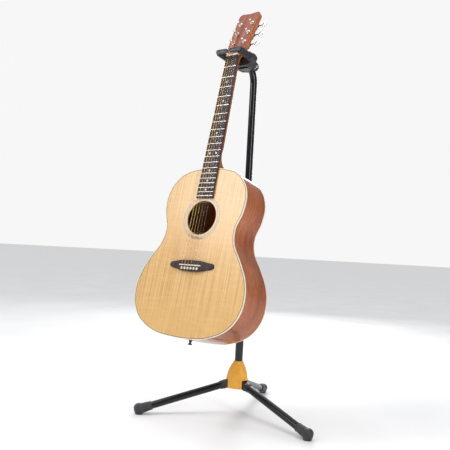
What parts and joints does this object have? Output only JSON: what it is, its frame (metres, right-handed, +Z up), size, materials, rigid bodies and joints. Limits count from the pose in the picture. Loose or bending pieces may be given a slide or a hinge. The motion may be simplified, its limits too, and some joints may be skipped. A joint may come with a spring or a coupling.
{
  "type": "guitar on stand",
  "caption": "Acoustic guitar hanging by its headstock in the gated yoke of a folding tripod floor stand with a telescoping shaft and a padded backrest.",
  "frame": {"origin": "centre of the footprint, on the floor", "axes": "+Z up, the guitar faces -Y, +X to the viewer's right seen from the front"},
  "size_m": [0.5335, 0.6072, 1.256],
  "materials": {
    "black_gloss": "gloss",
    "black_plastic": "satin",
    "bone": "polished",
    "bronze": "wound",
    "chrome": "polished",
    "clutch_plastic": "gloss",
    "foam": "matt foam",
    "foot_rubber": "matt",
    "gate_plastic": "satin",
    "hub_shell": "satin",
    "inner_wood": "raw",
    "mahogany": "gloss lacquer",
    "nickel": "polished",
    "rosette_wood": "lacquered",
    "rosewood": "oiled",
    "spruce": "gloss lacquer",
    "steel": "plain",
    "yoke_plastic": "matt"
  },
  "bodies": {
    "hub": {"hub_shell": "hub_shell", "hub_core": "black_plastic", "leg_pins": "steel", "lower_tube": "black_gloss", "clutch_base": "clutch_plastic", "clutch_collet": "black_plastic"},
    "leg_left": {"knuckle_left": "black_plastic", "leg_left": "black_gloss", "foot_left": "foot_rubber"},
    "leg_right": {"knuckle_right": "black_plastic", "leg_right": "black_gloss", "foot_right": "foot_rubber"},
    "leg_rear": {"knuckle_rear": "black_plastic", "leg_rear": "black_gloss", "foot_rear": "foot_rubber"},
    "clutch": {"clutch_sleeve": "clutch_plastic"},
    "backrest": {"backrest_collar": "black_plastic", "backrest_screw": "steel", "backrest_arm": "black_gloss", "backrest_pads": "foam"},
    "mast": {"upper_tube": "black_gloss", "yoke_bracket": "black_gloss", "yoke_pivot_screw": "chrome", "yoke_spring": "steel"},
    "cradle": {"yoke_cradle": "yoke_plastic", "yoke_rivets": "chrome", "yoke_sleeves": "foam"},
    "gate_left": {"gate_left": "gate_plastic"},
    "gate_right": {"gate_right": "gate_plastic"},
    "guitar": {"soundboard": "spruce", "body_back": "mahogany", "body_sides": "mahogany", "body_binding": "bone", "body_frame": "inner_wood", "body_braces": "inner_wood", "neck": "mahogany", "headstock_veneer": "mahogany", "fingerboard": "rosewood", "frets": "nickel", "position_dots": "bone", "nut_and_saddle": "bone", "bridge": "rosewood", "bridge_pins": "bone", "rosette": "rosette_wood", "strings": "bronze", "end_pin": "bone", "tuner_bushings": "chrome", "tuner_housings": "black_gloss"},
    "knob_1": {"tuner_knob_1": "chrome"},
    "knob_2": {"tuner_knob_2": "chrome"},
    "knob_3": {"tuner_knob_3": "chrome"},
    "knob_4": {"tuner_knob_4": "chrome"},
    "knob_5": {"tuner_knob_5": "chrome"},
    "knob_6": {"tuner_knob_6": "chrome"},
    "post_1": {"tuner_post_1": "chrome"},
    "post_2": {"tuner_post_2": "chrome"},
    "post_3": {"tuner_post_3": "chrome"},
    "post_4": {"tuner_post_4": "chrome"},
    "post_5": {"tuner_post_5": "chrome"},
    "post_6": {"tuner_post_6": "chrome"}
  },
  "joints": [
    {"name": "leg_left_fold", "type": "hinge", "parent": "hub", "child": "leg_left", "pos_m": [-0.05807, -0.01896, 0.097], "axis": [0.7193, -0.6947, 0], "range_deg": [0, 73]},
    {"name": "leg_right_fold", "type": "hinge", "parent": "hub", "child": "leg_right", "pos_m": [-0.01811, -0.00751, 0.097], "axis": [0.2419, 0.9703, 0], "range_deg": [0, 73]},
    {"name": "leg_rear_fold", "type": "hinge", "parent": "hub", "child": "leg_rear", "pos_m": [-0.04802, 0.02137, 0.097], "axis": [-0.9613, -0.2756, 0], "range_deg": [0, 73]},
    {"name": "clutch_turn", "type": "hinge", "parent": "hub", "child": "clutch", "pos_m": [-0.0414, -0.0017, 0.52], "axis": [0, 0, 1], "range_deg": [0, 90]},
    {"name": "height_slide", "type": "slide", "parent": "hub", "child": "mast", "axis": [0, 0, 1], "range_m": [-0.13, 0.03]},
    {"name": "backrest_slide", "type": "slide", "parent": "hub", "child": "backrest", "axis": [0, 0, 1], "range_m": [-0.13, 0.03]},
    {"name": "guitar_lift", "type": "slide", "parent": "mast", "child": "guitar", "axis": [0, 0, 1], "range_m": [0, 0.025]},
    {"name": "yoke_tilt", "type": "hinge", "parent": "mast", "child": "cradle", "pos_m": [-0.0414, -0.02339, 1.08938], "axis": [-1, 0, 0], "range_deg": [0, 10], "deforming": ["yoke_spring"]},
    {"name": "gate_left_swing", "type": "hinge", "parent": "cradle", "child": "gate_left", "pos_m": [-0.0789, -0.141, 1.10368], "axis": [0, 0.9962, -0.0872], "range_deg": [0, 85]},
    {"name": "gate_right_swing", "type": "hinge", "parent": "cradle", "child": "gate_right", "pos_m": [-0.0039, -0.141, 1.10368], "axis": [0, -0.9962, 0.0872], "range_deg": [0, 85]},
    {"name": "tuner_1_turn", "type": "hinge", "parent": "guitar", "child": "knob_1", "pos_m": [-0.0809, -0.07475, 1.1403], "axis": [-1, 0, 0], "continuous": true},
    {"name": "tuner_2_turn", "type": "hinge", "parent": "guitar", "child": "knob_2", "pos_m": [-0.0819, -0.05735, 1.1752], "axis": [-1, 0, 0], "continuous": true},
    {"name": "tuner_3_turn", "type": "hinge", "parent": "guitar", "child": "knob_3", "pos_m": [-0.0829, -0.03995, 1.21011], "axis": [-1, 0, 0], "continuous": true},
    {"name": "tuner_4_turn", "type": "hinge", "parent": "guitar", "child": "knob_4", "pos_m": [0.0001, -0.03995, 1.21011], "axis": [1, 0, 0], "continuous": true},
    {"name": "tuner_5_turn", "type": "hinge", "parent": "guitar", "child": "knob_5", "pos_m": [-0.0009, -0.05735, 1.1752], "axis": [1, 0, 0], "continuous": true},
    {"name": "tuner_6_turn", "type": "hinge", "parent": "guitar", "child": "knob_6", "pos_m": [-0.0019, -0.07475, 1.1403], "axis": [1, 0, 0], "continuous": true},
    {"name": "post_1_turn", "type": "hinge", "parent": "guitar", "child": "post_1", "pos_m": [-0.0609, -0.09542, 1.14502], "axis": [0, -0.8949, 0.4462], "continuous": true},
    {"name": "post_2_turn", "type": "hinge", "parent": "guitar", "child": "post_2", "pos_m": [-0.0619, -0.07801, 1.17992], "axis": [0, -0.8949, 0.4462], "continuous": true},
    {"name": "post_3_turn", "type": "hinge", "parent": "guitar", "child": "post_3", "pos_m": [-0.0629, -0.06061, 1.21482], "axis": [0, -0.8949, 0.4462], "continuous": true},
    {"name": "post_4_turn", "type": "hinge", "parent": "guitar", "child": "post_4", "pos_m": [-0.0199, -0.06061, 1.21482], "axis": [0, -0.8949, 0.4462], "continuous": true},
    {"name": "post_5_turn", "type": "hinge", "parent": "guitar", "child": "post_5", "pos_m": [-0.0209, -0.07801, 1.17992], "axis": [0, -0.8949, 0.4462], "continuous": true},
    {"name": "post_6_turn", "type": "hinge", "parent": "guitar", "child": "post_6", "pos_m": [-0.0219, -0.09542, 1.14502], "axis": [0, -0.8949, 0.4462], "continuous": true}
  ],
  "couplings": [
    {"joint": "backrest_slide", "follows": "height_slide", "ratio": 1},
    {"joint": "yoke_tilt", "follows": "guitar_lift", "rad_per_m": 6.98},
    {"joint": "gate_left_swing", "follows": "guitar_lift", "rad_per_m": 59.3},
    {"joint": "gate_right_swing", "follows": "guitar_lift", "rad_per_m": 59.3},
    {"joint": "post_1_turn", "follows": "tuner_1_turn", "ratio": -0.071429},
    {"joint": "post_2_turn", "follows": "tuner_2_turn", "ratio": -0.071429},
    {"joint": "post_3_turn", "follows": "tuner_3_turn", "ratio": -0.071429},
    {"joint": "post_4_turn", "follows": "tuner_4_turn", "ratio": 0.071429},
    {"joint": "post_5_turn", "follows": "tuner_5_turn", "ratio": 0.071429},
    {"joint": "post_6_turn", "follows": "tuner_6_turn", "ratio": 0.071429}
  ]
}
